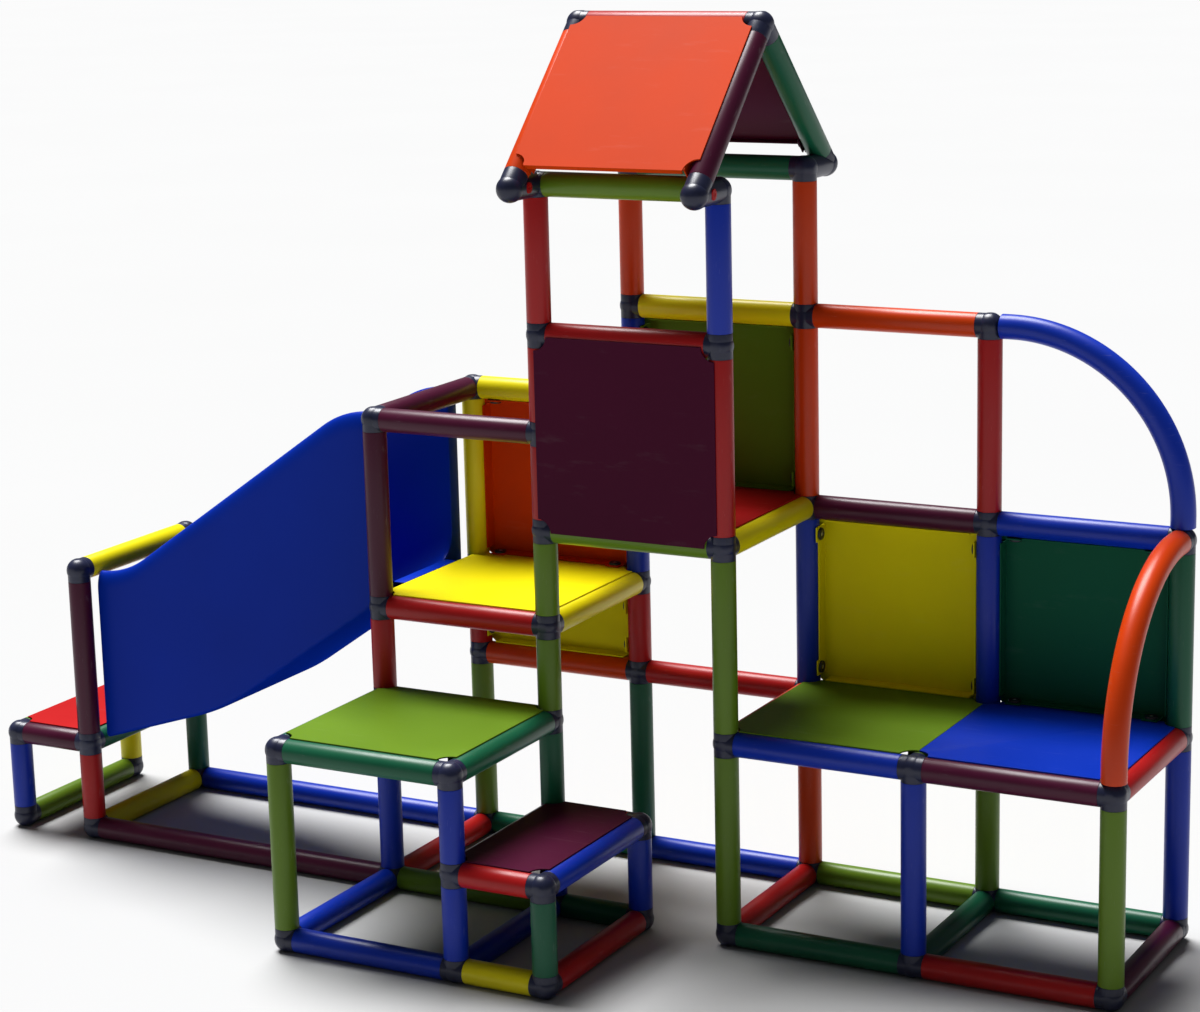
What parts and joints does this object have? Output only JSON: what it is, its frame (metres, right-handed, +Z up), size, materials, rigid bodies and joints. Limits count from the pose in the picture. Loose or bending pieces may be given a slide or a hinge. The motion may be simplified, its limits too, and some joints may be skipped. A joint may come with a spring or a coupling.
{
  "type": "modular climbing frame",
  "caption": "Free-standing indoor climbing frame of coloured plastic tubes with step decks, a moulded slide, a roofed tower, a bench bay and quarter-circle arcs.",
  "frame": {"origin": "on the ground, under the middle of the whole frame's box", "axes": "+X along the frame's length, from the slide's foot to the bench bay; +Y from the front to the back; +Z up"},
  "size_m": [2.651, 0.9523, 1.8506],
  "materials": {
    "plastic_red": "moulded gloss, red",
    "plastic_orange": "moulded gloss, orange",
    "plastic_yellow": "moulded gloss, yellow",
    "plastic_lime": "moulded gloss, lime",
    "plastic_green": "moulded gloss, green",
    "plastic_blue": "moulded gloss, blue",
    "plastic_plum": "moulded gloss, plum",
    "connector_black": "moulded, blue-black",
    "washer_black": "satin black",
    "screw_steel": "zinc-plated"
  },
  "bodies": {
    "root": {"arc_tube_blue": "plastic_blue", "arc_tube_orange": "plastic_orange", "connector_apex": "connector_black", "connector_eave_back": "connector_black", "connector_eave_front": "connector_black", "connector_five_way": "connector_black", "connector_four_way": "connector_black", "connector_three_way": "connector_black", "connector_two_way": "connector_black", "deck_bench_blue": "plastic_blue", "deck_bench_lime": "plastic_lime", "deck_foot_red": "plastic_red", "deck_half_step_plum": "plastic_plum", "deck_slide_yellow": "plastic_yellow", "deck_step_lime": "plastic_lime", "deck_tower_red": "plastic_red", "eave_plugs_red": "plastic_red", "panel_screws": "screw_steel", "panel_washers": "washer_black", "roof_back_plum": "plastic_plum", "roof_front_orange": "plastic_orange", "slide_blue": "plastic_blue", "tube_150_blue": "plastic_blue", "tube_150_green": "plastic_green", "tube_150_lime": "plastic_lime", "tube_150_plum": "plastic_plum", "tube_150_red": "plastic_red", "tube_150_yellow": "plastic_yellow", "tube_250_blue": "plastic_blue", "tube_250_orange": "plastic_orange", "tube_250_red": "plastic_red", "tube_350_blue": "plastic_blue", "tube_350_green": "plastic_green", "tube_350_lime": "plastic_lime", "tube_350_orange": "plastic_orange", "tube_350_plum": "plastic_plum", "tube_350_red": "plastic_red", "tube_350_yellow": "plastic_yellow", "tube_750_blue": "plastic_blue", "tube_750_plum": "plastic_plum", "tube_screws": "screw_steel", "wall_bench_green": "plastic_green", "wall_bench_yellow": "plastic_yellow", "wall_slide_half_yellow": "plastic_yellow", "wall_slide_orange": "plastic_orange", "wall_tower_back_lime": "plastic_lime", "wall_tower_front_plum": "plastic_plum"}
  },
  "joints": []
}
